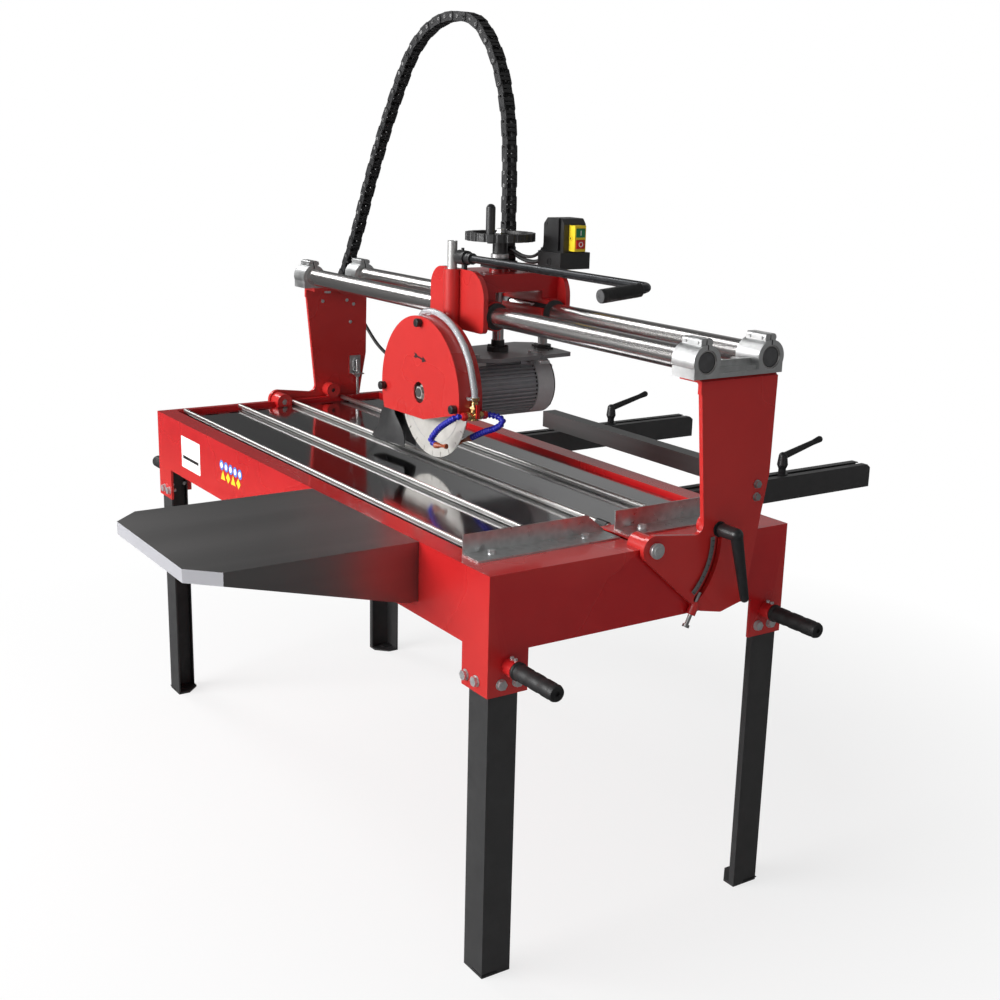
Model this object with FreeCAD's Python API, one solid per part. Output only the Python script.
import FreeCAD, Part
import math
import os

# Wet tile saw: a red sheet-metal table on four legs, with a tilting bridge over it.
# A carriage runs along the bridge on two rails and carries the motor, blade and guard.
# Millimetres.  X runs along the rails, Y to the rear, Z up.  The shapes are drawn about the
# middle of the table, and save() moves them so that the origin lies on the floor under the
# middle of the whole machine, side table and rear support included.

os.makedirs("parts", exist_ok=True)
V = FreeCAD.Vector

# ---- driving dimensions -------------------------------------------------------------
table_length = 1620.0
table_width = 700.0
table_height = 785.0
panel_depth = 144.0
sheet = 2.5
rim_left = 20.0
rim_right = 160.0
rim_side = 46.0
rod_radius = 6.0
rod_spacing = 155.0
first_rod_y = -280.0
leg_width = 62.0
leg_thickness = 4.0
bracket_width = 85.0
bracket_thickness = 6.0
bracket_bottom = 561.0
upright_face = 825.0
upright_thickness = 10.0
upright_top = 1095.0
rail_radius = 22.5
rail_wall = 3.0
rail_height = 1125.0
rail_front_y = 93.0
rail_rear_y = 250.0
rail_end = 830.0
head_x = 28.0
blade_radius = 150.0
blade_thickness = 2.4
slot_count = 24
blade_z = 948.0
guard_radius = 171.0
screw_y = 171.5
wheel_z = 1290.0
wheel_radius = 80.0
clamp_y = 155.0
clamp_z = 804.0
slot_radius = math.hypot(clamp_y, clamp_z - table_height)
run = 0.05

half_length = table_length / 2
half_width = table_width / 2
side_table_front = -785.0
arm_end = 1036.0
to_origin = V(0, -(side_table_front + arm_end) / 2, 0)
panel_bottom = table_height - panel_depth
column_front_y = 45.0
column_rear_y = 2 * screw_y - column_front_y


# ---- building blocks ----------------------------------------------------------------
def place(axis, along, across):
    """Point from a distance along an axis and the two other coordinates in X, Y, Z order."""
    if axis == "X":
        return V(along, across[0], across[1])
    if axis == "Y":
        return V(across[0], along, across[1])
    return V(across[0], across[1], along)


def direction(axis):
    return {"X": V(1, 0, 0), "Y": V(0, 1, 0), "Z": V(0, 0, 1)}[axis]


def box(x, y, z):
    return Part.makeBox(x[1] - x[0], y[1] - y[0], z[1] - z[0], V(x[0], y[0], z[0]))


def bar(axis, span, centre, radius):
    return Part.makeCylinder(radius, span[1] - span[0], place(axis, span[0], centre), direction(axis))


def tube(axis, span, centre, outer, inner):
    return bar(axis, span, centre, outer).cut(bar(axis, span, centre, inner))


def link(start, end, radius, end_radius=None):
    """Round bar between two points, tapered when the end radius differs."""
    way = V(*end) - V(*start)
    if end_radius is None or end_radius == radius:
        return Part.makeCylinder(radius, way.Length, V(*start), way)
    return Part.makeCone(radius, end_radius, way.Length, V(*start), way)


def joined(shapes):
    whole = shapes[0]
    for extra in shapes[1:]:
        whole = whole.fuse(extra)
    clean = whole.removeSplitter()
    return clean if clean.isValid() else whole


def plate(axis, span, outline):
    """Flat plate; each outline point is (u, v) or (u, v, corner radius)."""
    edges = []
    count = len(outline)
    ends = []
    for i in range(count):
        here = V(outline[i][0], outline[i][1], 0)
        radius = outline[i][2] if len(outline[i]) > 2 else 0
        if radius == 0:
            ends.append((here, None, here))
            continue
        to_last = (V(outline[i - 1][0], outline[i - 1][1], 0) - here).normalize()
        after = outline[(i + 1) % count]
        to_next = (V(after[0], after[1], 0) - here).normalize()
        half = to_last.getAngle(to_next) / 2
        reach = radius / math.tan(half)
        bisector = (to_last + to_next).normalize()
        centre = here + bisector * (radius / math.sin(half))
        ends.append((here + to_last * reach, centre - bisector * radius, here + to_next * reach))

    def lift(point):
        return place(axis, span[0], (point.x, point.y))

    for i in range(count):
        start, middle, end = ends[i]
        if middle is not None:
            edges.append(Part.Arc(lift(start), lift(middle), lift(end)).toShape())
        following = ends[(i + 1) % count][0]
        if (following - end).Length > 1e-6:
            edges.append(Part.makeLine(lift(end), lift(following)))
    return Part.Face(Part.Wire(edges)).extrude(direction(axis) * (span[1] - span[0]))


def hexagon(axis, span, centre, across_flats):
    corner = across_flats / math.sqrt(3)
    turns = [math.radians(60 * k) for k in range(6)]
    return plate(axis, span,
                 [(centre[0] + corner * math.cos(a), centre[1] + corner * math.sin(a)) for a in turns])


def bolt(axis, face, side, centre, thread, length):
    """Hex bolt with a washer whose seat is at `face`; `side` is +1 when the head looks along +axis."""
    washer = sorted((face, face + side * 1.6))
    head = sorted((face + side * 1.6, face + side * (1.6 + thread * 1.3)))
    shank = sorted((face, face - side * length))
    return joined([
        bar(axis, washer, centre, thread * 2.1),
        hexagon(axis, head, centre, thread * 3.3),
        bar(axis, shank, centre, thread),
    ])


def pipe(points, radius):
    """Round hose through the points."""
    curve = Part.BSplineCurve()
    curve.interpolate([V(*p) for p in points])
    path = Part.Wire(curve.toShape())
    begin = curve.value(curve.FirstParameter)
    ring = Part.makeCircle(radius, begin, curve.tangent(curve.FirstParameter)[0])
    return path.makePipeShell([Part.Wire(ring)], True, True)


def both_ends(shape):
    return [shape, shape.mirror(V(0, 0, 0), V(1, 0, 0))]


def ring_sector(axis, span, centre, outer, inner, low, high):
    """Part of a flat ring between two angles in degrees."""
    def at(radius, angle):
        turn = math.radians(angle)
        return place(axis, span[0],
                     (centre[0] + radius * math.cos(turn), centre[1] + radius * math.sin(turn)))
    middle = (low + high) / 2
    edges = [
        Part.Arc(at(outer, low), at(outer, middle), at(outer, high)).toShape(),
        Part.makeLine(at(outer, high), at(inner, high)),
        Part.Arc(at(inner, high), at(inner, middle), at(inner, low)).toShape(),
        Part.makeLine(at(inner, low), at(outer, low)),
    ]
    return Part.Face(Part.Wire(edges)).extrude(direction(axis) * (span[1] - span[0]))


def save(name, shape):
    solids = shape if isinstance(shape, list) else [shape]
    whole = solids[0] if len(solids) == 1 else Part.makeCompound(solids)
    if len(whole.Solids) == 0 or not whole.isValid():
        raise ValueError("bad shape: " + name)
    whole.translate(to_origin)
    whole.exportStep("parts/" + name + ".step")


# ---- table --------------------------------------------------------------------------
opening_x = (-half_length + rim_left, half_length - rim_right)
opening_y = (-half_width + rim_side, half_width - rim_side)
lip_bottom = table_height - 16
sheet_top = table_height - 10
sheet_gauge = 2.0
play = 0.5
ledge = 15.0
drain_count = 8
first_drain_y = -240.0
drain_pitch = 68.0
hook_x = (235.0, 460.0)
hook_slot_z = (700.0, 745.0)
pivot_radius = 22.0
pivot_inner = 770.0
pivot_hole = 8.0
stud_radius = 6.0
grip_y = 305.0
grip_z = 614.0
socket_end = 835.0
side_bolt_y = (288.0, 322.0)
face_bolt_x = (739.0, 774.0)
bracket_bolt_z = 583.0
bracket_thread = 5.0
socket_radius = 17.0
grip_core = 9.0
grip_radius = 15.0
grip_end = 955.0
core_start = 812.0
boss_end = 814.5
clamp_boss_start = 782.0
slot_half_width = 6.0
drain_spot = (-600.0, 180.0)
drain_radius = 14.0
drain_row_x = (-752.0, -740.0)
hook_slot_half = 7.0


def inset(amount, z):
    """Box over the table opening, drawn in by an amount on every side."""
    return box((opening_x[0] + amount, opening_x[1] - amount),
               (opening_y[0] + amount, opening_y[1] - amount), z)


def frame_tub():
    """Welded tub: walls, floor, rim flanges, corner brackets, pivot and clamp bosses, grip sockets."""
    outer = box((-half_length, half_length), (-half_width, half_width), (panel_bottom, table_height))
    inner = box((-half_length + sheet, half_length - sheet), (-half_width + sheet, half_width - sheet),
                (panel_bottom + sheet, table_height - sheet))
    shell = outer.cut(inner)
    shell = shell.cut(box(opening_x, opening_y, (table_height - 2 * sheet, table_height + 1)))
    lip_out = box((opening_x[0] - sheet, opening_x[1] + sheet), (opening_y[0] - sheet, opening_y[1] + sheet),
                  (lip_bottom - sheet, table_height - sheet))
    lip_in = box(opening_x, opening_y, (lip_bottom, table_height))
    ledge_hole = inset(ledge, (lip_bottom - 2 * sheet, table_height))
    shell = shell.fuse(lip_out.cut(lip_in).cut(ledge_hole))
    parts = [shell]
    for sx in (-1, 1):
        for sy in (-1, 1):
            xs = sorted((sx * half_length, sx * (half_length - bracket_width)))
            ys = sorted((sy * half_width, sy * (half_width - bracket_width)))
            post = box(xs, ys, (bracket_bottom, panel_bottom + 1))
            cx = sorted((sx * (half_length - bracket_thickness), sx * (half_length - 2 * bracket_width)))
            cy = sorted((sy * (half_width - bracket_thickness), sy * (half_width - 2 * bracket_width)))
            parts.append(post.cut(box(cx, cy, (bracket_bottom - 1, panel_bottom))))
            socket = sorted((sx * (half_length - 1), sx * socket_end))
            parts.append(tube("X", socket, (sy * grip_y, grip_z), socket_radius, grip_core))
        boss = sorted((sx * pivot_inner, sx * boss_end))
        parts.append(bar("X", boss, (0, table_height), pivot_radius))
        clamp_boss = sorted((sx * clamp_boss_start, sx * boss_end))
        parts.append(bar("X", clamp_boss, (clamp_y, clamp_z), clamp_z - table_height + 1))
    tub = joined(parts)
    for sx in (-1, 1):
        through = sorted((sx * (pivot_inner - 10), sx * (boss_end + 5.5)))
        tub = tub.cut(bar("X", through, (0, table_height), pivot_hole))
        tub = tub.cut(bar("X", through, (clamp_y, clamp_z), stud_radius + run))
        for sy in (-1, 1):
            tub = tub.cut(bar("X", sorted((sx * 800, sx * 840)), (sy * grip_y, grip_z), grip_core))
            for y in side_bolt_y:
                tub = tub.cut(bar("X", sorted((sx * 800, sx * 812)), (sy * y, bracket_bolt_z),
                                  bracket_thread))
            for x in face_bolt_x:
                tub = tub.cut(bar("Y", sorted((sy * 340, sy * 352)), (sx * x, bracket_bolt_z),
                                  bracket_thread))
    tub = tub.cut(box((opening_x[1] - 1, pivot_inner - 4), (-slot_half_width, slot_half_width),
                      (lip_bottom - 5, table_height + 1)))
    for y in fence_bolt_y():
        tub = tub.cut(bar("Z", (table_height - 4, table_height + 1), (fence_bolt_x, y), fence_thread))
    for x in hook_x:
        tub = tub.cut(box((x - hook_slot_half, x + hook_slot_half), (-half_width - 1, -half_width + 4),
                          hook_slot_z))
    tub = tub.cut(bar("Z", (panel_bottom - 1, panel_bottom + 4), drain_spot, drain_radius))
    return tub


def table_sheet():
    """Polished pan under the rods: flange on the frame's ledge, raised floor, drain row at the left."""
    flange = inset(play, (lip_bottom, lip_bottom + sheet_gauge))
    raised = inset(ledge + 3, (lip_bottom, sheet_top))
    under = inset(ledge + 3 + sheet_gauge, (lip_bottom - 1, sheet_top - sheet_gauge))
    body = joined([flange, raised]).cut(under)
    body = body.cut(box((-half_length, -pivot_inner + 2), (-pivot_radius - 2, pivot_radius + 2),
                        (lip_bottom - 1, table_height)))
    for k in range(drain_count):
        y = first_drain_y + k * drain_pitch
        body = body.cut(box(drain_row_x, (y, y + drain_pitch / 2), (lip_bottom - 1, table_height)))
    return body


def table_rods():
    rods = []
    for k in range(4):
        y = first_rod_y + k * rod_spacing
        rods.append(bar("X", (opening_x[0], opening_x[1]), (y, sheet_top + rod_radius + 1), rod_radius))
    return rods


fence_x = 680.0
fence_bolt_x = 704.0
fence_height = 38.0
fence_foot = 55.0
fence_gauge = 3.0
front_fence_y = (-325.0, -10.0)
rear_fence_y = (18.0, 325.0)
fence_cut = 40.0
fence_toe = 6.0
fence_thread = 4.0


def fence_bolt_y():
    return (-277, -69, 67, 275)


def end_fences():
    """Two galvanised angles bolted on the right rim, one each side of the blade line."""
    top = table_height + fence_height
    foot_z = (table_height, table_height + fence_gauge)
    foot_x = (fence_x, fence_x + fence_foot)
    wall_x = (fence_x, fence_x + fence_gauge)
    low, high = front_fence_y
    outline = [(low, table_height), (high, table_height), (high, table_height + fence_toe),
               (high - fence_cut, top), (low, top)]
    front = joined([box(foot_x, front_fence_y, foot_z), plate("X", wall_x, outline)])
    rear = joined([box(foot_x, rear_fence_y, foot_z), box(wall_x, rear_fence_y, (table_height, top))])
    drilled = []
    for piece in (front, rear):
        for y in fence_bolt_y():
            piece = piece.cut(bar("Z", (table_height - 1, table_height + fence_gauge + 1), (fence_bolt_x, y),
                                  fence_thread))
        drilled.append(piece)
    return drilled


def frame_bolts():
    bolts = [bolt("Z", table_height + fence_gauge, 1, (fence_bolt_x, y), fence_thread, 9)
             for y in fence_bolt_y()]
    for sx in (-1, 1):
        for sy in (-1, 1):
            for y in side_bolt_y:
                bolts.append(bolt("X", sx * half_length, sx, (sy * y, bracket_bolt_z), bracket_thread, 16))
            for x in face_bolt_x:
                bolts.append(bolt("Y", sy * half_width, sy, (sx * x, bracket_bolt_z), bracket_thread, 16))
    return bolts + pivot_bolts()


def leg(sx, sy):
    """Bent angle leg with a return lip and a foot plate, open side inward."""
    lip_width = 15
    foot_corner = 30
    foot_gauge = 5
    ox = half_length - bracket_thickness
    oy = half_width - bracket_thickness
    height = panel_bottom - 1

    def flat(x, y, z):
        return box(sorted((sx * x[0], sx * x[1])), sorted((sy * y[0], sy * y[1])), z)

    side = flat((ox, ox - leg_thickness), (oy, oy - leg_width), (0, height))
    face = flat((ox, ox - leg_width), (oy, oy - leg_thickness), (0, height))
    lip = flat((ox, ox - lip_width), (oy - leg_width, oy - leg_width + leg_thickness), (0, height))
    corner = [(sx * ox, sy * oy), (sx * (ox - leg_width), sy * oy),
              (sx * (ox - leg_width), sy * (oy - foot_corner)),
              (sx * (ox - foot_corner), sy * (oy - leg_width)), (sx * ox, sy * (oy - leg_width))]
    foot = plate("Z", (0, foot_gauge), corner)
    whole = joined([side, face, lip, foot])
    for y in side_bolt_y:
        whole = whole.cut(bar("X", sorted((sx * (ox + 1), sx * (ox - 20))), (sy * y, bracket_bolt_z),
                              bracket_thread))
    for x in face_bolt_x:
        whole = whole.cut(bar("Y", sorted((sy * (oy + 1), sy * (oy - 20))), (sx * x, bracket_bolt_z),
                              bracket_thread))
    return whole


def carry_grips():
    grips = []
    for sx in (-1, 1):
        for sy in (-1, 1):
            sleeve = bar("X", sorted((sx * socket_end, sx * grip_end)), (sy * grip_y, grip_z), grip_radius)
            core = bar("X", sorted((sx * core_start, sx * (socket_end + 1))), (sy * grip_y, grip_z),
                       grip_core)
            grips.append(joined([sleeve, core]))
    return grips


def pivot_bolts():
    """Shouldered bolts on which the bridge tilts, each with a thin washer under a round head."""
    face = upright_face + 0.3
    spot = (0, table_height)
    screw = [bar("X", (face, upright_face + 3), spot, 13),
             bar("X", (upright_face + 3, upright_face + 9), spot, 8),
             bar("X", (pivot_inner + 5, upright_face + 1), spot, pivot_hole)]
    return both_ends(joined(screw))


def water_pump():
    """Submersible pump standing on the tub floor."""
    floor = panel_bottom + sheet
    pump_height = 70
    inlet_height = 20
    outlet_height = 25
    top = floor + pump_height
    body = box((-690, -600), (-60, 10), (floor, top))
    inlet = bar("Z", (floor, floor + inlet_height), (-585, -25), 22)
    outlet = bar("Z", (top, top + outlet_height), (-645, -25), 8)
    return joined([body, inlet, outlet])


# ---- side table ---------------------------------------------------------------------
def side_table():
    """Folded sheet extension that hooks into the front panel."""
    x0 = 125.0
    x1 = 570.0
    back = -half_width - 0.5
    front = side_table_front
    cut = 53.0
    hem = 25.0
    depth = 116.0
    gauge = 2.0
    rim = [(x0, back), (x0, front + cut), (x0 + cut, front), (x1 - cut, front), (x1, front + cut), (x1, back)]
    inside = [(x0 + gauge, back - gauge), (x0 + gauge, front + cut + 1), (x0 + cut + 1, front + gauge),
              (x1 - cut - 1, front + gauge),
              (x1 - gauge, front + cut + 1), (x1 - gauge, back - gauge)]
    block = plate("Z", (table_height - depth, table_height), rim)
    block = block.cut(plate("Z", (table_height - depth - 1, table_height - gauge), inside))
    slope = plate("X", (x0 - 1, x1 + 1), [(front - 1, table_height - hem), (front + cut, table_height - hem),
                                          (back - 20, table_height - depth - 1),
                                          (front - 1, table_height - depth - 1)])
    block = block.cut(slope)
    hooks = []
    for x in hook_x:
        hooks.append(box((x - 6, x + 6), (back - 1, -half_width + 7),
                         (hook_slot_z[0] + 0.2, hook_slot_z[0] + 12)))
        hooks.append(box((x - 6, x + 6), (-half_width + 4, -half_width + 7),
                         (hook_slot_z[0] - 14, hook_slot_z[0] + 12)))
    return joined([block] + hooks)


# ---- rear support -------------------------------------------------------------------
arm_x = (-280.0, 385.0)
arm_top = 745.0
arm_half = 25.0
arm_depth = 57.0
crossbar_y = (565.0, 605.0)
slide_lever_y = 757.0


def support_arm(x):
    """Box beam with a slot along its top, closed at the frame end by a mounting plate."""
    start = half_width
    body = box((x - arm_half, x + arm_half), (start, arm_end), (arm_top - arm_depth, arm_top))
    hollow = box((x - arm_half + 3, x + arm_half - 3), (start + 6, arm_end + 1),
                 (arm_top - arm_depth + 3, arm_top - 3))
    slot = box((x - 7, x + 7), (start + 6, arm_end + 1), (arm_top - 4, arm_top + 1))
    nose = plate("X", (x - arm_half - 1, x + arm_half + 1),
                 [(arm_end - 12, arm_top + 1), (arm_end + 1, arm_top + 1),
                  (arm_end + 1, arm_top - 9)])
    return body.cut(hollow).cut(slot).cut(nose)


def support_crossbar():
    """Grey table-level bar welded to a sliding tongue inside each arm."""
    top = table_height + 3
    bottom = arm_top + 0.4
    tube_wall = 2.5
    outer = box((-335, 440), crossbar_y, (bottom, top))
    inner = box((-336, 441), (crossbar_y[0] + tube_wall, crossbar_y[1] - tube_wall),
                (bottom + tube_wall, top - tube_wall))
    parts = [outer.cut(inner)]
    for x in arm_x:
        tongue = box((x - 20, x + 20), (480, 800), (arm_top - 36, arm_top - 6))
        tongue = tongue.cut(bar("Z", (arm_top - 40, arm_top), (x, slide_lever_y), 5 + run))
        post = box((x - 6, x + 6), (crossbar_y[0] + 4, crossbar_y[1] - 4), (arm_top - 8, bottom + 1))
        parts.append(joined([tongue, post]))
    return joined(parts)


def support_lever(x):
    """Adjustable clamp lever on one arm, its stud reaching the tongue inside."""
    y = slide_lever_y
    elbow = (x, y, arm_top + 44)
    bend = (x, y + 96, arm_top + 68)
    tip = (x, y + 118, arm_top + 74)
    parts = [
        bar("Z", (arm_top + 0.3, arm_top + 2.5), (x, y), 14),
        bar("Z", (arm_top - 34, arm_top + 3), (x, y), 5),
        link((x, y, arm_top + 2.5), (x, y, arm_top + 14), 9),
        link((x, y, arm_top + 14), (x, y, arm_top + 24), 9, 13),
        link((x, y, arm_top + 24), elbow, 13, 10.5),
        Part.makeSphere(10.5, V(*elbow)),
        link(elbow, bend, 8.5, 6.5),
        link(bend, tip, 6.5, 8),
        Part.makeSphere(8, V(*tip)),
    ]
    return joined(parts)


# ---- bridge -------------------------------------------------------------------------
nose_radius = 27.0
slot_half = 7.0
stop_x = 820.0
stop_start = (90.0, 620.0)
bracket_screw_y = 244.0
bracket_screw_z = (856.0, 881.0)
bracket_y = (222.0, 256.0)
jack_y = 240.0
jack_back = 14.0


def stop_line():
    """Unit direction of the 45 degree stop screw, and where its tip meets the clamp stud."""
    rest = math.atan2(clamp_z - table_height, clamp_y)
    tilted = rest - math.radians(45)
    stud = (slot_radius * math.cos(tilted), table_height + slot_radius * math.sin(tilted))
    way = V(0, stud[0] - stop_start[0], stud[1] - stop_start[1])
    reach = way.Length - stud_radius - 0.4
    way.normalize()
    return way, reach


def stop_point(distance):
    return V(stop_x, stop_start[0], stop_start[1]) + stop_line()[0] * distance


def upright():
    """Right-hand upright: bent plate with the tilt arm, curved slot and 45 degree stop boss."""
    inner = upright_face - upright_thickness
    arm_top_turn = math.radians(79)
    arm_low_turn = math.radians(228)
    top_tangent = (nose_radius * math.cos(arm_top_turn), table_height + nose_radius * math.sin(arm_top_turn))
    low_tangent = (nose_radius * math.cos(arm_low_turn), table_height + nose_radius * math.sin(arm_low_turn))
    outline = [(89, upright_top - 6), (117, 797, 18), top_tangent, low_tangent, (90, 670), (119, 647, 8),
               (172, 636, 10), (232, 651, 10), (259, 815, 60), (275, 900, 60), (278, upright_top - 6)]
    side = plate("X", (inner, upright_face), outline)
    nose = bar("X", (inner, upright_face), (0, table_height), nose_radius)
    bend = [(upright_face, upright_top - 30), (upright_face, upright_top, 14),
            (upright_face - 62, upright_top),
            (upright_face - 62, upright_top - 9), (inner, upright_top - 9, 5), (inner, upright_top - 30)]
    top = plate("Y", (89, 278), bend)
    boss = Part.makeCylinder(9, 26, stop_point(24), stop_line()[0])
    whole = joined([side, nose, top, boss])
    whole = whole.cut(bar("X", (inner - 1, upright_face + 1), (0, table_height), pivot_hole + run))
    high = math.degrees(math.atan2(clamp_z - table_height, clamp_y)) + 1
    low = -46.0
    centre = (0, table_height)
    whole = whole.cut(ring_sector("X", (inner - 1, upright_face + 1), centre, slot_radius + slot_half,
                                  slot_radius - slot_half, low, high))
    for angle in (low, high):
        turn = math.radians(angle)
        spot = (slot_radius * math.cos(turn), table_height + slot_radius * math.sin(turn))
        whole = whole.cut(bar("X", (inner - 1, upright_face + 1), spot, slot_half))
    whole = whole.cut(Part.makeCylinder(4, stop_line()[1] + 6, stop_point(-2), stop_line()[0]))
    for z in bracket_screw_z:
        whole = whole.cut(bar("X", (inner - 1, upright_face + 1), (bracket_screw_y, z), 4))
    for y in saddle_bolt_y:
        whole = whole.cut(bar("Z", (upright_top - 12, upright_top + 1), (saddle_bolt_x, y), 5))
    return whole


def tilt_lever():
    """Clamp lever outside the right upright; its stud runs through the curved slot into the frame."""
    elbow_radius = 13
    tip_radius = 8.5
    elbow = (872, clamp_y, clamp_z)
    tip = (878, clamp_y + 26, clamp_z - 126)
    parts = [
        bar("X", (825.3, 827.5), (clamp_y, clamp_z), 15),
        bar("X", (827.5, 834), (clamp_y, clamp_z), 10.5),
        bar("X", (833.5, elbow[0]), (clamp_y, clamp_z), elbow_radius),
        bar("X", (786, 828), (clamp_y, clamp_z), stud_radius),
        Part.makeSphere(elbow_radius, V(*elbow)),
        link(elbow, tip, elbow_radius - 1, tip_radius),
        Part.makeSphere(tip_radius, V(*tip)),
    ]
    return joined(parts)


saddle_bolt_y = (140.0, 203.0)
lug_screw_x = (785.0, 817.0)
lug_half = 13.0
clamp_x = (770.0, 832.0)
clamp_base = 9.0
clamp_radius = 32.0
lug_top = 43.0
lug_screw_up = 35.0
saddle_bolt_x = 785.0


def rail_clamp():
    """Right-hand cast saddle that holds both rail ends in split rings."""
    x = clamp_x
    base = box(x, (rail_front_y - 30, rail_rear_y + 30), (upright_top, upright_top + clamp_base))
    saddle = box((x[0] + 4, x[1] - 6), (rail_front_y, rail_rear_y), (upright_top + 8, upright_top + 17))
    rib = box((803, 811), (rail_front_y, rail_rear_y), (upright_top + 16, upright_top + 28))
    parts = [base, saddle, rib]
    for y in (rail_front_y, rail_rear_y):
        parts.append(bar("X", x, (y, rail_height), clamp_radius))
        parts.append(box(x, (y - 30, y + 30), (upright_top, rail_height)))
        parts.append(plate("X", (x[0] + 5, x[1] - 5),
                           [(y - lug_half, rail_height + lug_top, 5),
                            (y + lug_half, rail_height + lug_top, 5),
                            (y + lug_half, rail_height + 10),
                            (y - lug_half, rail_height + 10)]))
    whole = joined(parts).cut(box((x[0] - 1, x[1] + 1), (0, 2 * rail_rear_y),
                                  (upright_top - 20, upright_top)))
    for y in (rail_front_y, rail_rear_y):
        whole = whole.cut(bar("X", (x[0] - 1, x[1] + 1), (y, rail_height), rail_radius))
        whole = whole.cut(box((x[0] - 1, x[1] + 1), (y - 1.5, y + 1.5),
                              (rail_height + 15, rail_height + lug_top + 1)))
        for screw_x in lug_screw_x:
            whole = whole.cut(bar("Y", (y - lug_half - 1, y + lug_half + 1),
                                  (screw_x, rail_height + lug_screw_up), 3))
    for y in saddle_bolt_y:
        whole = whole.cut(bar("Z", (upright_top - 1, upright_top + 60), (saddle_bolt_x, y), 5))
    return whole


def clamp_screws():
    """Cap screws through the split lugs and the saddle."""
    screws = []
    for y in (rail_front_y, rail_rear_y):
        for x in lug_screw_x:
            shank = bar("Y", (y - lug_half - 2, y + lug_half), (x, rail_height + lug_screw_up), 3)
            head = bar("Y", (y + lug_half, y + lug_half + 6), (x, rail_height + lug_screw_up), 5.5)
            screws += both_ends(joined([shank, head]))
    for y in saddle_bolt_y:
        head = bar("Z", (upright_top + 17, upright_top + 26), (saddle_bolt_x, y), 8)
        shank = bar("Z", (upright_top - 14, upright_top + 18), (saddle_bolt_x, y), 5)
        under = hexagon("Z", (upright_top - 17, upright_top - 9), (saddle_bolt_x, y), 16)
        screws += both_ends(joined([head, shank, under]))
    return screws


def bridge_rails():
    rails = []
    for y in (rail_front_y, rail_rear_y):
        rails.append(tube("X", (-rail_end, rail_end), (y, rail_height), rail_radius, rail_radius - rail_wall))
    return rails


def tilt_stops():
    """Square bracket with the 0 degree jack screw on each upright, and the 45 degree stop screws."""
    inner = upright_face - upright_thickness
    flat = box((inner - 3, inner), bracket_y, (842, 894))
    shelf = box((inner - 26, inner), bracket_y, (842, 845))
    bracket = joined([flat, shelf])
    pieces = []
    for z in bracket_screw_z:
        bracket = bracket.cut(bar("X", (inner - 4, inner + 1), (bracket_screw_y, z), 4))
    bracket = bracket.cut(bar("Z", (841, 846), (inner - jack_back, jack_y), 4))
    rod = joined([bar("Z", (table_height + 0.2, 884), (inner - jack_back, jack_y), 4),
                  hexagon("Z", (845, 851), (inner - jack_back, jack_y), 13),
                  hexagon("Z", (835, 842), (inner - jack_back, jack_y), 13)])
    pieces += both_ends(bracket)
    pieces += both_ends(rod)
    for z in bracket_screw_z:
        screw = [bar("X", (inner - 7, upright_face + 1), (bracket_screw_y, z), 4),
                 bar("X", (upright_face, upright_face + 1.6),
                     (bracket_screw_y, z), 8.5),
                 hexagon("X", (upright_face + 1.6, upright_face + 6.5), (bracket_screw_y, z), 13),
                 hexagon("X", (inner - 9, inner - 3), (bracket_screw_y, z), 13)]
        pieces += both_ends(joined(screw))
    way, reach = stop_line()
    stop = joined([Part.makeCylinder(4, reach, stop_point(0), way),
                   Part.makeCylinder(7, 6, stop_point(-2), way)])
    pieces += both_ends(stop)
    return pieces


chain_y = 246.0
chain_path = [(-900, 1104), (-865, 1150), (-807, 1246), (-737, 1376), (-655, 1512), (-577, 1623),
              (-509, 1704),
              (-437, 1754), (-353, 1781), (-272, 1783), (-200, 1766), (-141, 1718), (-95, 1649), (-67, 1568),
              (-56, 1497), (-52, 1400), (-50, 1297), (-50, 1225)]
chain_half_width = 15.0
chain_half_depth = 12.0


def chain_bracket():
    """Strap from the left rail clamp out to the fixed end of the cable chain."""
    strap = box((-925, -826), (218, 280), (upright_top - 12.5, upright_top - 9.5))
    riser = box((-916, -884), (chain_y - 14, chain_y + 14), (upright_top - 10, upright_top + 1))
    web = box((-829, -826), (218, 280), (upright_top - 60, upright_top - 9.5))
    return joined([strap, riser, web])


def drag_chain():
    """Cable chain loop, drawn as one closed band."""
    curve = Part.BSplineCurve()
    curve.interpolate([V(x, chain_y - chain_half_width, z) for x, z in chain_path])
    steps = 80
    outer = []
    inner = []
    for i in range(steps + 1):
        t = curve.FirstParameter + (curve.LastParameter - curve.FirstParameter) * i / steps
        point = curve.value(t)
        way = curve.tangent(t)[0]
        side = V(-way.z, 0, way.x) * chain_half_depth
        outer.append(point + side)
        inner.append(point - side)
    edge_out = Part.BSplineCurve()
    edge_out.interpolate(outer)
    edge_in = Part.BSplineCurve()
    edge_in.interpolate(inner)
    wire = Part.Wire([edge_out.toShape(), Part.makeLine(outer[-1], inner[-1]), edge_in.toShape(),
                      Part.makeLine(inner[0], outer[0])])
    return Part.Face(wire).extrude(V(0, 2 * chain_half_width, 0))


# ---- carriage -----------------------------------------------------------------------
carriage_x = (-82.0, 145.0)
carriage_low = 1088.0
carriage_top = 1222.0
deck_top = 1214.0
deck_apron = 40.0
deck_plate = 12.0
sleeve_radius = 15.5
bush_wall = 2.5
column_radius = 11.0
flange_radius = rail_radius + 7
front_plate_y = (55.0, 67.0)
rear_plate_y = (276.0, 288.0)
column_boss_radius = 19.0
rail_housing_radius = 33.0
deck_back = 32.0
deck_front = 34.0
bush_end = 8.0
bush_length = 52.0


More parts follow.
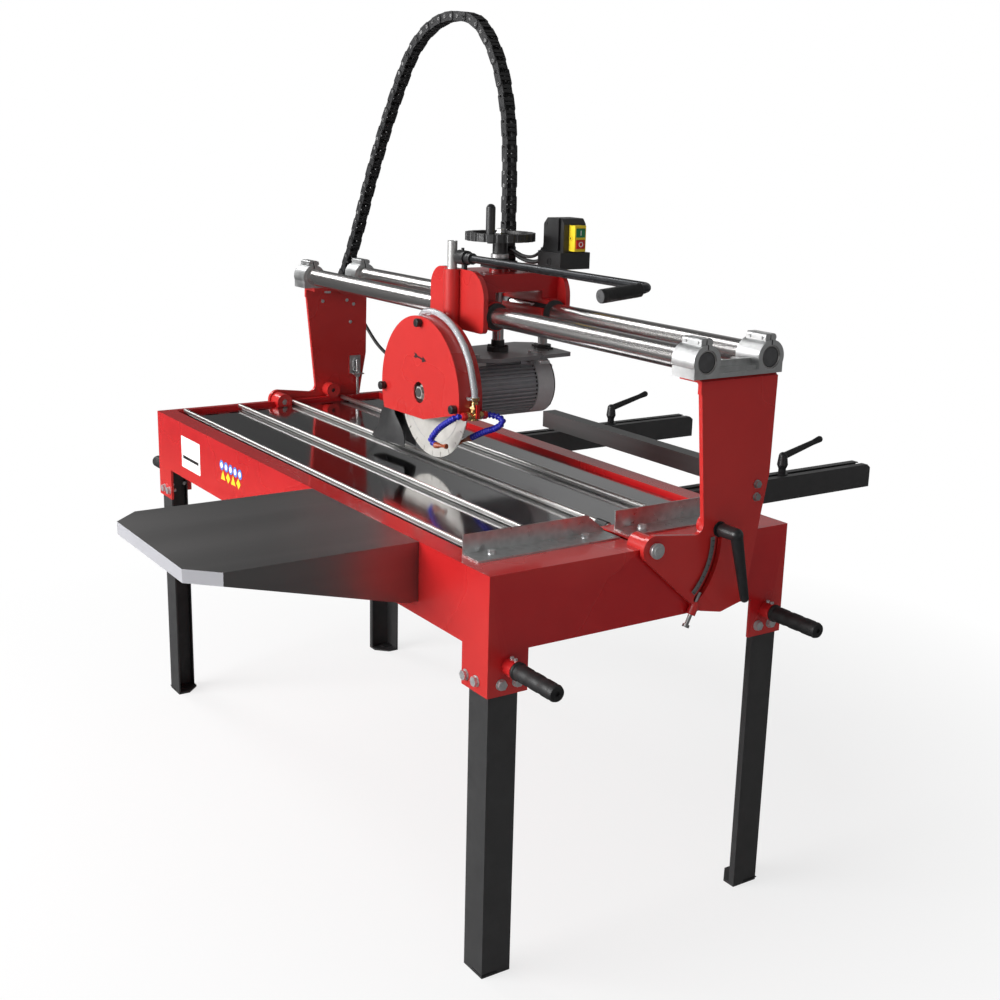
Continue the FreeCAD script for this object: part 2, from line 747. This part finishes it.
def carriage_body():
    """Red casting: two end plates with column bosses, rail housings and a deck between them."""
    x0, x1 = carriage_x
    outline = [(x0, carriage_low, 12), (x0, carriage_top, 48), (x1, carriage_top, 60), (x1, carriage_low, 12)]
    parts = []
    for y in (front_plate_y, rear_plate_y):
        parts.append(plate("Y", y, outline))
    for y in (column_front_y, column_rear_y):
        parts.append(bar("Z", (carriage_low, carriage_top), (head_x, y), column_boss_radius))
    for y in (rail_front_y, rail_rear_y):
        parts.append(bar("X", (x0 + bush_end, x1 - bush_end), (y, rail_height), rail_housing_radius))
    between = (front_plate_y[1] - 1, rear_plate_y[0] + 1)
    parts.append(box((x0 + deck_back, x1 - deck_front), between, (rail_height + 20, deck_top)))
    parts.append(bar("Z", (deck_top - deck_plate, deck_top + 6), (head_x, screw_y), 24))
    parts.append(box((x1 - deck_front - deck_plate, x1 - deck_front), between,
                     (deck_top - deck_apron, deck_top)))
    parts.append(box((-70, -34), (chain_y - 19, chain_y + 19), (deck_top - 4, deck_top + 8)))
    whole = joined(parts)
    whole = whole.cut(box((x0 + 42, x1 - 40), (rail_front_y + 34, rail_rear_y - 34),
                          (rail_height - 20, deck_top - deck_plate)))
    whole = whole.cut(box((x0 + 31, x1), (rail_front_y + 15, rail_rear_y - 15),
                          (rail_height + 12, deck_top - deck_apron)))
    for y in (rail_front_y, rail_rear_y):
        whole = whole.cut(bar("X", (x0 - 1, x1 + 1), (y, rail_height), rail_radius + bush_wall))
        for end in ((x0 - 1, x0 + bush_end), (x1 - bush_end, x1 + 1)):
            whole = whole.cut(bar("X", end, (y, rail_height), flange_radius + run))
    for y in (column_front_y, column_rear_y):
        whole = whole.cut(bar("Z", (carriage_low - 1, carriage_top + 1), (head_x, y), column_radius + run))
    return whole.cut(bar("Z", (deck_top - 30, deck_top + 8), (head_x, screw_y), sleeve_radius))


def rail_bushes():
    """Sleeve with a wiper flange at each end of each rail housing."""
    bushes = []
    inner = rail_radius + run
    for y in (rail_front_y, rail_rear_y):
        for start, end, lip in ((carriage_x[0] + bush_end, carriage_x[0] + bush_end + bush_length, -1),
                                (carriage_x[1] - bush_end - bush_length, carriage_x[1] - bush_end, 1)):
            sleeve = tube("X", (start, end), (y, rail_height), rail_radius + bush_wall, inner)
            face = start if lip < 0 else end
            flange = tube("X", sorted((face, face + lip * 5)), (y, rail_height), flange_radius, inner)
            bushes.append(joined([sleeve, flange]))
    return bushes


bar_y = 56.0
bar_z = 1248.0
bar_end = 711.0
bar_droop = 5.3
tail_end = -56.0
bend_radius = 26.0
bar_radius = 8.5
grip_outer = 13.0


def drooped(shape):
    """The handle end, turned about the bar so that it hangs a little below level."""
    shape.rotate(V(0, bar_y, bar_z), V(1, 0, 0), bar_droop)
    return shape


def push_bar():
    """Bent pull bar: straight along the bridge, then forward inside the grip."""
    straight = bar("X", (46, bar_end - bend_radius), (bar_y, bar_z), bar_radius)
    centre = V(bar_end - bend_radius, bar_y - bend_radius, bar_z)
    arc = Part.makeTorus(bend_radius, bar_radius, centre, V(0, 0, 1), 0, 360, 360)
    quarter = box((bar_end - bend_radius, bar_end + 20), (bar_y - bend_radius, bar_y + 20),
                  (bar_z - 20, bar_z + 20))
    tail = bar("Y", (tail_end, bar_y - bend_radius), (bar_end, bar_z), bar_radius)
    return joined([straight, drooped(joined([arc.common(quarter), tail]))])


def push_bar_grip():
    """Rubber sleeve closed at its front end."""
    back = bar_y - bend_radius - 2
    sleeve = bar("Y", (tail_end - 8, back), (bar_end, bar_z), grip_outer)
    return drooped(sleeve.cut(bar("Y", (tail_end, back + 1), (bar_end, bar_z), bar_radius)))


def push_bar_clamp():
    """Black clamp collar that holds the bar's end on a stud above the front plate."""
    parts = [
        bar("X", (41, 74), (bar_y, bar_z), 16),
        bar("X", (74, 96), (bar_y, bar_z), 12.5),
        bar("Z", (carriage_top + 0.1, bar_z - 10), (54, bar_y + 5), 6.5),
        bar("Z", (bar_z, bar_z + 21), (54, bar_y), 3.5),
    ]
    return joined(parts).cut(bar("X", (45.9, 97), (bar_y, bar_z), bar_radius))


box_x = (70.0, 148.0)
box_y = (262.0, 322.0)
box_low = 1223.0
box_top = 1335.0
foot_height = 37.0
groove_x = (127.0, 137.0)
groove_depth = 5.0
bezel_out = 22.0
bezel_y = (277.0, 307.0)
bezel_z = (1264.0, 1321.0)
bezel_depth = 12.0
button_half = (11.5, 9.5)
button_gap = 0.5
button_z = {"start": 1305.0, "stop": 1280.0}
button_proud = {"start": 1.5, "stop": 2.5}
button_depth = 8.0


def control_box():
    """Switch housing with bevelled top edges, a groove in its front face and a wider foot."""
    x0, x1 = box_x
    shell = plate("Y", box_y, [(x0 - 6, box_low + foot_height - 4), (x0, box_top - 60, 20),
                               (x0, box_top - 14, 6), (x0 + 14, box_top, 6), (x1 - 10, box_top, 8),
                               (x1, box_top - 12, 6), (x1, box_low + foot_height - 4)])
    foot = box((x0 - 6, x1 + 4), (box_y[0] - 10, box_y[1] + 12), (box_low, box_low + foot_height))
    stem = box((x0 + 8, x1 - 30), (rear_plate_y[0] + 1, rear_plate_y[1] + 8),
               (carriage_top - 34, box_low + 1))
    whole = joined([shell, foot, stem]).cut(box((0, 200), (rear_plate_y[0] - 0.1, rear_plate_y[1] + 0.1),
                                                (carriage_low, carriage_top + 0.1)))
    groove = box(groove_x, (box_y[0] - 1, box_y[0] + groove_depth), (box_low + foot_height + 3, box_top + 1))
    pocket = box((x1 - bezel_depth, x1 + 1), bezel_y, bezel_z)
    return whole.cut(groove).cut(pocket)


def button_spot(which):
    return ((bezel_y[0] + bezel_y[1]) / 2, button_z[which])


def button_space(which, x, margin):
    y, z = button_spot(which)
    across = button_half[0] + margin
    up = button_half[1] + margin
    return box(x, (y - across, y + across), (z - up, z + up))


def switch_plate():
    """Yellow switch block on the right face of the control box with two button openings."""
    face = box_x[1] + bezel_out
    bezel = box((box_x[1] - bezel_depth, face), bezel_y, bezel_z)
    for which in ("start", "stop"):
        bezel = bezel.cut(button_space(which, (face - button_depth - 4, face + 1), button_gap))
    return bezel


def switch_button(which):
    face = box_x[1] + bezel_out
    return button_space(which, (face - button_depth, face + button_proud[which]), 0)


def power_cable():
    """Supply lead hanging from the fixed end of the cable chain down behind the table, with its plug."""
    lead = pipe([(-903, 262, 1079), (-902, 266, 1060), (-893, 290, 1015), (-872, 305, 968),
                 (-815, 318, 915), (-745, 340, 875),
                 (-650, 366, 835), (-570, 380, 770), (-528, 386, 680), (-518, 390, 560)], 5)
    plug = bar("Z", (490, 562), (-518, 390), 17)
    return joined([lead, plug])


# ---- depth feed ---------------------------------------------------------------------
screw_radius = 8.0
lift_travel = 50.0
lobe_count = 22
rim_half = 9.0
rim_width = 18.0
lobe_radius = 6.5
hub_radius = 17.0
spoke_count = 3
knob_pin = 4.0
knob_radius = 10.5
knob_height = 66.0


def handwheel():
    """Three-spoke wheel with a lobed rim and a boss for the crank knob."""
    rim = tube("Z", (wheel_z - rim_half, wheel_z + rim_half), (head_x, screw_y), wheel_radius,
               wheel_radius - rim_width)
    for k in range(lobe_count):
        turn = 2 * math.pi * (k + 0.5) / lobe_count
        reach = wheel_radius + 4
        spot = (head_x + reach * math.cos(turn), screw_y + reach * math.sin(turn))
        rim = rim.cut(bar("Z", (wheel_z - rim_half - 1, wheel_z + rim_half + 1), spot, lobe_radius))
    hub = bar("Z", (wheel_z - 38, wheel_z + 8), (head_x, screw_y), hub_radius)
    spokes = []
    for k in range(spoke_count):
        spoke = box((head_x + 8, head_x + wheel_radius - 10), (screw_y - 7, screw_y + 7),
                    (wheel_z - 6, wheel_z + 5))
        spoke.rotate(V(head_x, screw_y, 0), V(0, 0, 1), 360 / spoke_count * k + 30)
        spokes.append(spoke)
    boss = bar("Z", (wheel_z - 7.5, wheel_z + 12), knob_spot(), 9.5)
    whole = joined([rim, hub] + spokes + [boss])
    whole = whole.cut(bar("Z", (wheel_z - 10, wheel_z + 13), knob_spot(), knob_pin + run))
    whole = whole.cut(bar("Z", (wheel_z - 10, wheel_z - 7.9), knob_spot(), 7))
    return whole.cut(bar("Z", (wheel_z - 39, wheel_z + 9), (head_x, screw_y), screw_radius))


def knob_spot():
    turn = math.radians(-53)
    reach = wheel_radius - 14
    return (head_x + reach * math.cos(turn), screw_y + reach * math.sin(turn))


def crank_knob():
    spin = knob_spot()
    grip = bar("Z", (wheel_z + 12.3, wheel_z + knob_height), spin, knob_radius)
    dome = Part.makeSphere(knob_radius, V(spin[0], spin[1], wheel_z + knob_height - 2))
    pin = bar("Z", (wheel_z - 10, wheel_z + 13), spin, knob_pin)
    retainer = bar("Z", (wheel_z - 12, wheel_z - 8.3), spin, 6.5)
    return joined([grip, dome, pin, retainer])


def depth_screw():
    """Lead screw with its thrust collar seated on the carriage deck."""
    foot = plate_low + plate_thick + lift_travel + 1
    thread = bar("Z", (foot, wheel_z + 8), (head_x, screw_y), screw_radius)
    collar = bar("Z", (deck_top + 14.3, deck_top + 30), (head_x, screw_y), 16)
    return joined([thread, collar])


def screw_seat():
    """Base plate and bearing under the hand wheel, with the tube that covers the screw below the deck."""
    seat = joined([box((head_x - 34, head_x + 34), (screw_y - 30, screw_y + 30),
                       (deck_top + 6, deck_top + 14)),
                   bar("Z", (deck_top - 50, deck_top + 7), (head_x, screw_y), sleeve_radius)])
    seat = seat.cut(bar("Z", (deck_top - 51, deck_top - 2), (head_x, screw_y), nut_radius + 0.5))
    return seat.cut(bar("Z", (deck_top - 3, deck_top + 15), (head_x, screw_y), screw_radius + run))


# ---- cutting head -------------------------------------------------------------------
plate_low = 1020.0
plate_thick = 9.0
motor_radius = 70.0
fin_height = 8.0
fin_count = 44
fin_half = 1.6
foot_y = (62.0, 208.0)
foot_length = 28.0
pad_thick = 9.0
bore_radius = 56.0
motor_front = 26.0
motor_rear = 242.0
fan_cover_end = 291.0
nut_radius = 13.0
nut_height = 90.0
column_wall = 2.5
column_tops = (1283.0, 1262.0)


def motor_plate():
    """Black plate that carries the motor and hangs from the columns and the lift nut."""
    x0 = head_x - 105
    outline = [(x0 + 16, 45), (x0 + 14, 170, 8), (x0, 288, 8), (x0 + 26, 328, 8), (head_x + 90, 318, 8),
               (head_x + 108, 110, 10), (head_x + 66, 36, 8), (head_x - 40, 30, 8)]
    body = plate("Z", (plate_low, plate_low + plate_thick), outline)
    return body.cut(bar("Z", (plate_low - 1, plate_low + 20), (head_x, screw_y), screw_radius + 2))


def guide_columns():
    """Grey tubes that slide in the carriage bosses, each with a flange on the motor plate."""
    columns = []
    low = plate_low + plate_thick
    for y, top in zip((column_front_y, column_rear_y), column_tops):
        body = tube("Z", (low, top), (head_x, y), column_radius, column_radius - column_wall)
        flange = tube("Z", (low, low + 8), (head_x, y), 19, column_radius - column_wall)
        columns.append(joined([body, flange]))
    return columns


def lift_nut():
    """Flanged lift tube around the screw; its thread is the nut of the depth feed."""
    low = plate_low + plate_thick
    body = bar("Z", (low, low + nut_height), (head_x, screw_y), nut_radius)
    flange = bar("Z", (low, low + 10), (head_x, screw_y), 24)
    return joined([body, flange]).cut(bar("Z", (low - 1, low + nut_height + 1), (head_x, screw_y),
                                          screw_radius + run))


def blades_about(count, near, far, half, y, skip=None):
    """Thin radial plates about the motor axis, one solid each."""
    plates = []
    for k in range(count):
        turn = 2 * math.pi * k / count
        way = (math.cos(turn), math.sin(turn))
        if skip is not None and way[1] > skip:
            continue
        side = (-way[1] * half, way[0] * half)
        inner = (head_x + way[0] * near, blade_z + way[1] * near)
        outer = (head_x + way[0] * far, blade_z + way[1] * far)
        plates.append(plate("Y", y,
                            [(inner[0] + side[0], inner[1] + side[1]),
                             (outer[0] + side[0], outer[1] + side[1]),
                             (outer[0] - side[0], outer[1] - side[1]),
                             (inner[0] - side[0], inner[1] - side[1])]))
    return plates


def motor_housing():
    """Finned housing with foot pads, bored for the winding."""
    centre = (head_x, blade_z)
    body = bar("Y", (motor_front, motor_rear - 1), centre, motor_radius - fin_height)
    fins = blades_about(fin_count, motor_radius - fin_height - 2, motor_radius, fin_half,
                        (54, motor_rear - 1),
                        0.96)
    feet = []
    for y in foot_y:
        for sx in (-1, 1):
            web = sorted((head_x + sx * 26, head_x + sx * 44))
            feet.append(box(web, (y, y + foot_length), (blade_z + 40, plate_low)))
            pad = sorted((head_x + sx * 26, head_x + sx * 78))
            feet.append(box(pad, (y, y + foot_length), (plate_low - pad_thick, plate_low)))
    front = bar("Y", (motor_front, 56), centre, motor_radius)
    whole = joined([body, front] + fins + feet)
    whole = whole.cut(bar("Y", (38, motor_rear - 10), centre, bore_radius))
    return whole.cut(bar("Y", (motor_front - 1, motor_rear + 1), centre, shaft_radius + run))


shaft_radius = 12.5
winding_y = (70.0, 210.0)
rotor_radius = 34.0


def motor_stator():
    return tube("Y", winding_y, (head_x, blade_z), bore_radius, rotor_radius + 0.6)


def rotor_shaft():
    """Motor rotor on the shaft that carries the blade at one end and the fan at the other."""
    centre = (head_x, blade_z)
    rotor = bar("Y", (winding_y[0] + 8, winding_y[1] - 8), centre, rotor_radius)
    return joined([bar("Y", (-40, 18), centre, 10), bar("Y", (14, 270), centre, shaft_radius), rotor])


fan_y = (motor_rear + 5, motor_rear + 28)


def motor_fan():
    """Cooling fan behind the housing."""
    centre = (head_x, blade_z)
    parts = [tube("Y", fan_y, centre, 20, 10), tube("Y", (fan_y[0], fan_y[0] + 3), centre, 56, 10)]
    parts += blades_about(9, 15, 55, 1.2, (fan_y[0] + 1, fan_y[1] + 4))
    return joined(parts).cut(bar("Y", (motor_rear - 4, fan_cover_end), centre, shaft_radius))


def fan_cover():
    """Cowl around the fan with air slots in its rear face."""
    centre = (head_x, blade_z)
    outer = bar("Y", (motor_rear, fan_cover_end), centre, motor_radius)
    outer = outer.makeFillet(4, [e for e in outer.Edges if abs(e.BoundBox.YMin - fan_cover_end) < 0.01
                                 and abs(e.BoundBox.YMax - fan_cover_end) < 0.01])
    whole = outer.cut(bar("Y", (motor_rear - 1, fan_cover_end - 3), centre, motor_radius - 4))
    for k in range(-5, 6):
        half = math.sqrt(56 ** 2 - (k * 9) ** 2)
        z = blade_z + k * 9
        whole = whole.cut(box((head_x - half, head_x + half), (fan_cover_end - 6, fan_cover_end + 1),
                              (z - 2, z + 2)))
    return whole


cover_y = (-38.0, -35.0)
guard_back = 22.0
guard_gauge = 2.5
sight_radius = 24.0


def guard_outline(radius, y):
    """Round guard shape clipped by the sloping lower edge."""
    disc = bar("Y", y, (head_x, blade_z), radius)
    low = [(head_x - 250, blade_z - 300), (head_x - 250, blade_z - 62), (head_x + 20, blade_z - 58),
           (head_x + 250, blade_z - 2), (head_x + 250, blade_z - 300)]
    return disc.cut(plate("Y", (y[0] - 1, y[1] + 1), low))


knob_turns = (88.0, 183.0, -4.0)


def knob_place(turn):
    reach = guard_radius - 13
    return (head_x + reach * math.cos(math.radians(turn)), blade_z + reach * math.sin(math.radians(turn)))


def guard_body():
    """Dark red guard shell behind the cover, bolted to the motor's front bell."""
    shell = guard_outline(guard_radius, (cover_y[1], guard_back))
    shell = shell.cut(guard_outline(guard_radius - guard_gauge, (cover_y[1] - 1, guard_back - guard_gauge)))
    low = plate("Y", (cover_y[1] - 1, guard_back - guard_gauge),
                [(head_x - 300, blade_z - 120), (head_x - 300, blade_z - 50),
                 (head_x + 20, blade_z - 46), (head_x + 300, blade_z + 22), (head_x + 300, blade_z - 120)])
    inside = bar("Y", (cover_y[1] - 1, guard_back - guard_gauge), (head_x, blade_z),
                 guard_radius - guard_gauge)
    shell = shell.cut(low.common(inside))
    spacer = tube("Y", (guard_back - 1, motor_front), (head_x, blade_z), 50, 44)
    posts = []
    for turn in knob_turns:
        posts.append(bar("Y", (cover_y[1], guard_back - 1), knob_place(turn), 7))
    whole = joined([shell, spacer] + posts)
    whole = whole.cut(bar("Y", (guard_back - 10, motor_front + 1), (head_x, blade_z), 40))
    for turn in knob_turns:
        whole = whole.cut(bar("Y", (cover_y[1] - 1, cover_y[1] + 20), knob_place(turn), 3))
    return whole


def guard_cover():
    """Red front cover with a round sight hole over the arbor nut."""
    cover = guard_outline(guard_radius + 1, cover_y)
    cover = cover.cut(bar("Y", (cover_y[0] - 1, cover_y[1] + 1), (head_x, blade_z), sight_radius))
    for turn in knob_turns:
        cover = cover.cut(bar("Y", (cover_y[0] - 1, cover_y[1] + 1), knob_place(turn), 3))
    return cover


def guard_knobs():
    knobs = []
    for turn in knob_turns:
        spot = knob_place(turn)
        knobs.append(joined([bar("Y", (cover_y[0] - 14, cover_y[0]), spot, 9),
                             bar("Y", (cover_y[0] - 1, cover_y[1] + 18), spot, 3)]))
    return knobs


def splash_flap():
    """Rubber skirt around the rear of the blade, split along the blade line."""
    x = head_x - 28
    outline = [(x - 148, 952), (x - 178, 935, 12), (x - 200, 868, 40), (x - 226, 800), (x - 76, 800),
               (x - 90, 882),
               (x - 132, 882), (x - 146, 905)]
    body = plate("Y", (-18, 20), outline)
    body = body.cut(box((x - 165, x), (-5, 5), (790, 990)))
    bevel = plate("X", (x - 300, x), [(-30, 790), (2, 790), (2, 800), (-22, 828), (-30, 828)])
    body = body.cut(bevel)
    return body.cut(bar("Y", (-40, 40), (head_x, blade_z), guard_radius + 1.5))


def blade():
    """Diamond blade: steel core with a slightly thicker rim."""
    centre = (head_x, blade_z)
    half = blade_thickness / 2
    core = bar("Y", (-half + 0.3, half - 0.3), centre, blade_radius - 8)
    rim = tube("Y", (-half, half), centre, blade_radius, blade_radius - 10)
    whole = joined([core, rim]).cut(bar("Y", (-5, 5), centre, 10))
    for k in range(slot_count):
        slot = Part.makeBox(2, 4, 14, V(-1, -2, blade_radius - 12))
        slot.rotate(V(0, 0, 0), V(0, 1, 0), 90 - 360 * k / slot_count)
        slot.translate(V(head_x, 0, blade_z))
        whole = whole.cut(slot)
    return whole


def blade_clamp():
    """Inner and outer blade flanges and the arbor nut."""
    centre = (head_x, blade_z)
    half = blade_thickness / 2 - 0.3
    disc = 34
    bore = 10
    hub = 17
    inner = joined([tube("Y", (half, 7), centre, disc, bore), tube("Y", (6, 14), centre, hub + 3, bore)])
    outer = joined([tube("Y", (-7, -half), centre, disc, bore), tube("Y", (-26, -7), centre, hub, bore)])
    nut = joined([tube("Y", (-28, -26), centre, hub, bore), hexagon("Y", (-38, -28), centre, 26)])
    return [inner, outer, nut.cut(bar("Y", (-39, -27), centre, bore))]


hose_radius = 7.5
hose_foot = 956.0
hose_arc = guard_radius + hose_radius + 1.5
valve_x = head_x + hose_arc
valve_y = -4.0
valve_z = 928.0
tee_front = valve_y - 24
tee_rear = valve_y + 24


def hose_point(turn, y):
    return (head_x + hose_arc * math.cos(math.radians(turn)), y,
            blade_z + hose_arc * math.sin(math.radians(turn)))


def water_hose():
    """Clear hose from behind the guard over its rim down to the valve."""
    start = [(head_x - 74, 40, 1050), (head_x - 86, 40, 1080), hose_point(125, 27), hose_point(104, 2)]
    arc = [hose_point(turn, valve_y) for turn in (84, 66, 48, 30, 12)]
    return pipe(start + arc + [(valve_x, valve_y, hose_foot)], hose_radius)


def water_valve():
    """Brass stem and tee body that feeds the two coolant hoses."""
    stem = bar("Z", (valve_z + 4, 955), (valve_x, valve_y), 6)
    clampring = tube("Z", (957, 964), (valve_x, valve_y), hose_radius + 3.2, hose_radius + 1.2)
    tee = joined([bar("Z", (valve_z - 14, valve_z + 8), (valve_x, valve_y), 10),
                  bar("Y", (tee_front, tee_rear), (valve_x, valve_z - 4), 8)])
    strap = box((head_x + guard_radius - 4, valve_x), (valve_y - 3, valve_y + 3), (valve_z + 6, valve_z + 14))
    body = joined([stem, tee, strap])
    body = body.cut(bar("X", (valve_x + 2, valve_x + 20), (valve_y, valve_z - 4), 3 + run))
    cut_guard = guard_outline(guard_radius + 0.1, (-60, 60))
    return [body.cut(cut_guard), clampring.cut(cut_guard)]


def valve_lever():
    """Small quarter-turn handle on the valve."""
    y = valve_y
    z = valve_z - 4
    stem = bar("X", (valve_x + 4, valve_x + 16), (y, z), 3)
    handle = box((valve_x + 13, valve_x + 16), (y - 4, y + 4), (z - 4, z + 26))
    return joined([stem, handle])


def coolant_hoses():
    """Two jointed hoses with nozzles, one each side of the blade."""
    z = valve_z - 4
    left = [(valve_x, tee_front - 1.5, z), (valve_x - 2, tee_front - 10, z - 1), (valve_x - 16, -50, 917),
            (valve_x - 60, -51, 893), (valve_x - 92, -50, 869), (valve_x - 104, -49, 853),
            (valve_x - 82, -48, 848)]
    right = [(valve_x, tee_rear + 1.5, z), (valve_x, tee_rear + 8, z), (valve_x + 22, 44, 921),
             (valve_x + 40, 42, 914), (valve_x + 20, 38, 897), (valve_x - 25, 37, 880),
             (valve_x - 74, 36, 857)]
    pieces = [pipe(left, 6), pipe(right, 6)]
    pieces.append(link(left[-1], (valve_x - 46, -40, 853), 4.5, 2.6))
    pieces.append(link(right[-1], (valve_x - 124, 30, 834), 4.5, 2.6))
    return pieces


# ---- output -------------------------------------------------------------------------
def build_all():
    save("frame_tub", frame_tub())
    save("table_sheet", table_sheet())
    save("table_rods", table_rods())
    save("end_fences", end_fences())
    save("frame_bolts", frame_bolts())
    for name, sx, sy in (("leg_front_left", -1, -1), ("leg_front_right", 1, -1), ("leg_rear_left", -1, 1),
                         ("leg_rear_right", 1, 1)):
        save(name, leg(sx, sy))
    save("carry_grips", carry_grips())
    save("water_pump", water_pump())
    save("side_table", side_table())
    for name, x in (("left", arm_x[0]), ("right", arm_x[1])):
        save("support_arm_" + name, support_arm(x))
        save("support_lever_" + name, support_lever(x))
    save("support_crossbar", support_crossbar())
    for name, pair in (("upright", both_ends(upright())), ("tilt_lever", both_ends(tilt_lever())),
                       ("rail_clamp", both_ends(rail_clamp()))):
        save(name + "_right", pair[0])
        save(name + "_left", pair[1])
    save("clamp_screws", clamp_screws())
    save("bridge_rails", bridge_rails())
    save("tilt_stops", tilt_stops())
    save("chain_bracket", chain_bracket())
    save("drag_chain", drag_chain())
    save("carriage_body", carriage_body())
    save("rail_bushes", rail_bushes())
    save("push_bar", push_bar())
    save("push_bar_clamp", push_bar_clamp())
    save("push_bar_grip", push_bar_grip())
    save("control_box", control_box())
    save("switch_plate", switch_plate())
    save("start_button", switch_button("start"))
    save("stop_button", switch_button("stop"))
    save("power_cable", power_cable())
    save("handwheel", handwheel())
    save("crank_knob", crank_knob())
    save("depth_screw", depth_screw())
    save("screw_seat", screw_seat())
    save("motor_plate", motor_plate())
    save("guide_columns", guide_columns())
    save("lift_nut", lift_nut())
    save("motor_housing", motor_housing())
    save("motor_stator", motor_stator())
    save("rotor_shaft", rotor_shaft())
    save("motor_fan", motor_fan())
    save("fan_cover", fan_cover())
    save("guard_body", guard_body())
    save("guard_cover", guard_cover())
    save("guard_knobs", guard_knobs())
    save("splash_flap", splash_flap())
    save("blade", blade())
    save("blade_clamp", blade_clamp())
    save("water_hose", water_hose())
    save("water_valve", water_valve())
    save("valve_lever", valve_lever())
    save("coolant_hoses", coolant_hoses())


build_all()
